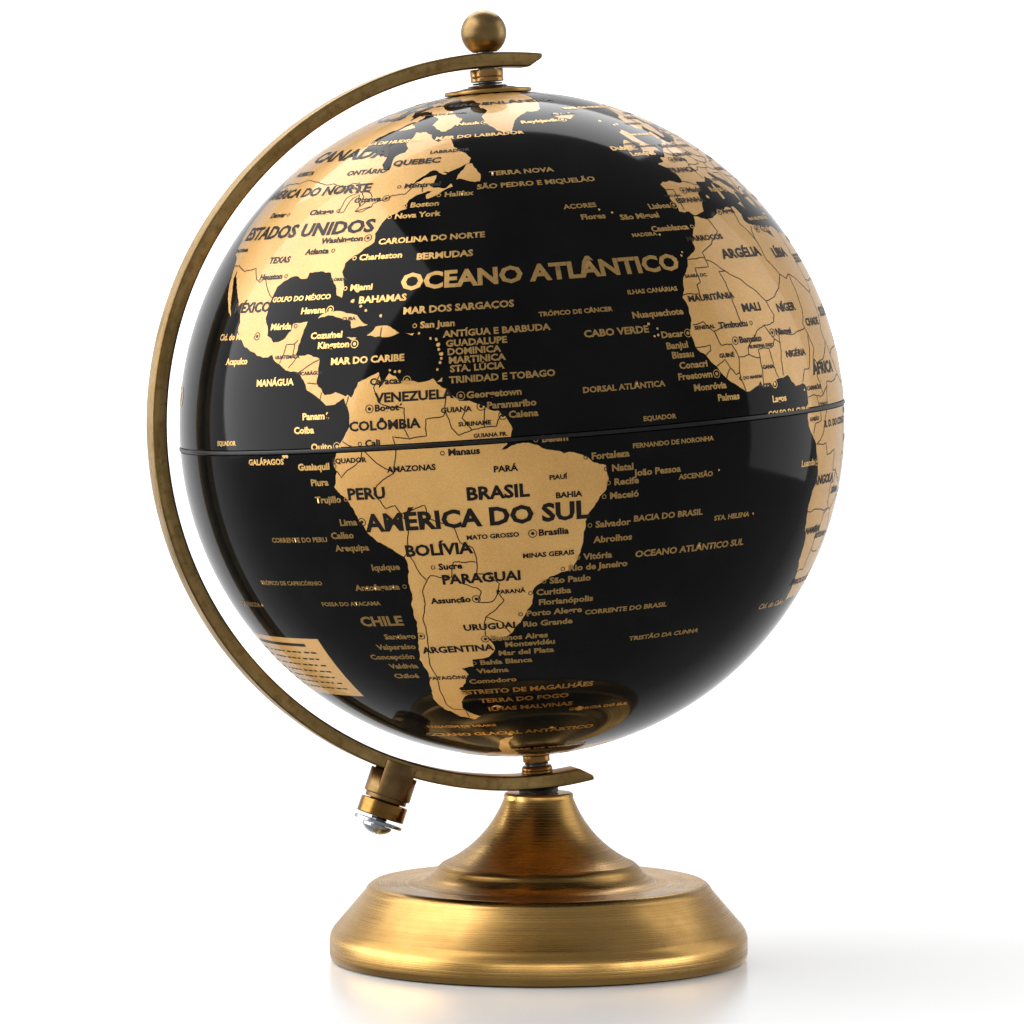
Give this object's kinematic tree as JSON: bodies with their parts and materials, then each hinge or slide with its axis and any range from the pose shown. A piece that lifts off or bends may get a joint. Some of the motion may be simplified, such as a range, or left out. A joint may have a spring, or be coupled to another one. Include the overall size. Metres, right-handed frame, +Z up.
{
  "type": "desktop globe",
  "caption": "Desktop globe that spins on a tilted axis in a flat meridian arm with a ball finial, on a spun brass base with a flared neck.",
  "frame": {"origin": "centre of the felt pad's underside, on the table under the middle of the base", "axes": "+Z up; the meridian arm lies in the XZ plane and bulges towards -X; the polar axis leans 4.3 degrees from +Z towards -X"},
  "size_m": [0.2111, 0.2006, 0.2864],
  "materials": {
    "brushed_brass": "turned and brushed, lacquered",
    "antique_brass": "brushed along its length, antiqued",
    "bronze": "dark bronzed, fine-turned",
    "gloss_black": "gloss black under clear lacquer, with a metallic gold map",
    "satin_black": "satin",
    "zinc_steel": "zinc plated",
    "plain_steel": "plain",
    "cast_iron": "as cast",
    "nylon": "smooth",
    "pale_plastic": "moulded",
    "felt": "felted"
  },
  "bodies": {
    "stand": {"base_shell": "brushed_brass", "felt_pad": "felt", "bottom_plate": "plain_steel", "ballast_weight": "cast_iron", "plate_screw_1": "zinc_steel", "plate_screw_2": "zinc_steel", "plate_screw_3": "zinc_steel", "taper_washer": "satin_black", "clamp_washer": "plain_steel"},
    "arm": {"meridian_arm": "antique_brass", "axle_rod": "plain_steel", "clamp_spring_washer": "zinc_steel", "clamp_nut": "zinc_steel", "ball_finial": "brushed_brass", "north_thrust_washer": "nylon", "north_spacer": "brushed_brass", "south_collar": "brushed_brass", "south_thrust_washer": "nylon", "mount_boss": "antique_brass", "boss_collar": "brushed_brass", "boss_washer": "zinc_steel", "boss_screw": "zinc_steel"},
    "globe": {"north_hemisphere": "gloss_black", "south_hemisphere": "gloss_black", "equator_band": "satin_black", "equator_sleeve": "pale_plastic", "north_bush": "pale_plastic", "south_bush": "pale_plastic", "polar_disc": "bronze", "globe_collar": "brushed_brass"}
  },
  "joints": [
    {"name": "arm_swivel", "type": "hinge", "parent": "stand", "child": "arm", "pos_m": [0, 0, 0.0507], "axis": [-0.075, 0, 0.9972], "continuous": true},
    {"name": "globe_spin", "type": "hinge", "parent": "arm", "child": "globe", "pos_m": [0, 0, 0.0507], "axis": [-0.075, 0, 0.9972], "continuous": true}
  ]
}
